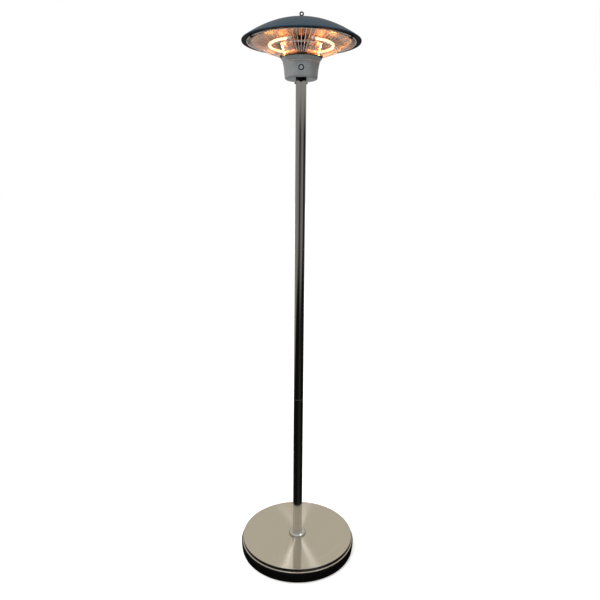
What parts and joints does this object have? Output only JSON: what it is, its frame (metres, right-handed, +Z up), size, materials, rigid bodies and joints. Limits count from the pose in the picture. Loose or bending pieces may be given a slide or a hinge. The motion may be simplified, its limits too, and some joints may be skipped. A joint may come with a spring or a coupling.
{
  "type": "outdoor heater",
  "caption": "Free-standing electric infrared heater: a shallow round shade with lit curved lamps, a reflector and a wire guard, on a slim steel pole with a weighted round base.",
  "frame": {"origin": "on the floor, under the centre of the pole", "axes": "+Z up along the pole, -Y towards the front with the badge, +X to the right seen from the front"},
  "size_m": [0.469, 0.473, 2.0955],
  "materials": {
    "rubber": "matt moulded rubber",
    "black_plastic": "fine moulded grain, slightly glossy",
    "cast_weight": "cast concrete",
    "brushed_steel": "stainless sheet, brushed in circles round the pole",
    "polished_steel": "polished stainless tube",
    "zinc": "zinc plated",
    "grey_paint": "silver-grey powder coat, satin",
    "dark_paint": "dark slate-grey coat, satin",
    "black_paint": "black stove enamel",
    "black_screw": "blackened steel",
    "badge": "plain satin badge with a dark ring",
    "reflector": "bright polished aluminium",
    "ceramic": "unglazed white ceramic",
    "lamp": "quartz tube with a glowing filament",
    "guard_wire": "bright plated wire",
    "block": "heat-proof moulding",
    "brass": "turned brass"
  },
  "bodies": {
    "root": {"foot_pad_1": "rubber", "foot_pad_2": "rubber", "foot_pad_3": "rubber", "foot_pad_4": "rubber", "cable_grommet": "rubber", "supply_lead": "rubber", "base_tub": "black_plastic", "pole_collar": "black_plastic", "thermal_cutout": "black_plastic", "base_weight": "cast_weight", "base_cover": "brushed_steel", "foot_flange": "polished_steel", "lower_pole": "polished_steel", "middle_pole": "polished_steel", "upper_pole": "polished_steel", "front_lamp_bracket": "zinc", "rear_lamp_bracket": "zinc", "tub_screw_1": "zinc", "tub_screw_2": "zinc", "tub_screw_3": "zinc", "pole_foot": "zinc", "foot_screw_1": "zinc", "foot_screw_2": "zinc", "foot_screw_3": "zinc", "lower_coupler": "zinc", "upper_coupler": "zinc", "head_spigot": "zinc", "spigot_nut": "zinc", "tilt_switch_pin": "zinc", "centre_rod": "zinc", "rod_nut": "zinc", "shade_spacer": "zinc", "housing_cup": "grey_paint", "shade": "dark_paint", "housing_lid": "black_paint", "rim_ring": "black_paint", "guard_clip_1": "black_paint", "guard_clip_2": "black_paint", "guard_clip_3": "black_paint", "head_screw_left": "black_screw", "head_screw_right": "black_screw", "hanging_eye": "black_screw", "badge": "badge", "reflector_skirt": "reflector", "reflector_drum": "reflector", "reflector_dish": "reflector", "dish_spacer": "reflector", "lamp_cap_1": "ceramic", "lamp_cap_2": "ceramic", "lamp_cap_3": "ceramic", "lamp_cap_4": "ceramic", "lamp_left": "lamp", "lamp_right": "lamp", "guard": "guard_wire", "terminal_block": "block", "selector_switch": "block", "tilt_switch_case": "block"},
    "knob": {"selector_knob": "black_plastic"},
    "pendulum": {"tilt_pendulum": "brass"}
  },
  "joints": [
    {"name": "heat_selector", "type": "hinge", "parent": "root", "child": "knob", "pos_m": [0, 0.0633, 1.903], "axis": [0, 1, 0], "range_deg": [0, 135]},
    {"name": "tilt_switch", "type": "hinge", "parent": "root", "child": "pendulum", "pos_m": [-0.032, 0.002, 1.936], "axis": [0, 1, 0], "range_deg": [-20, 20]}
  ]
}
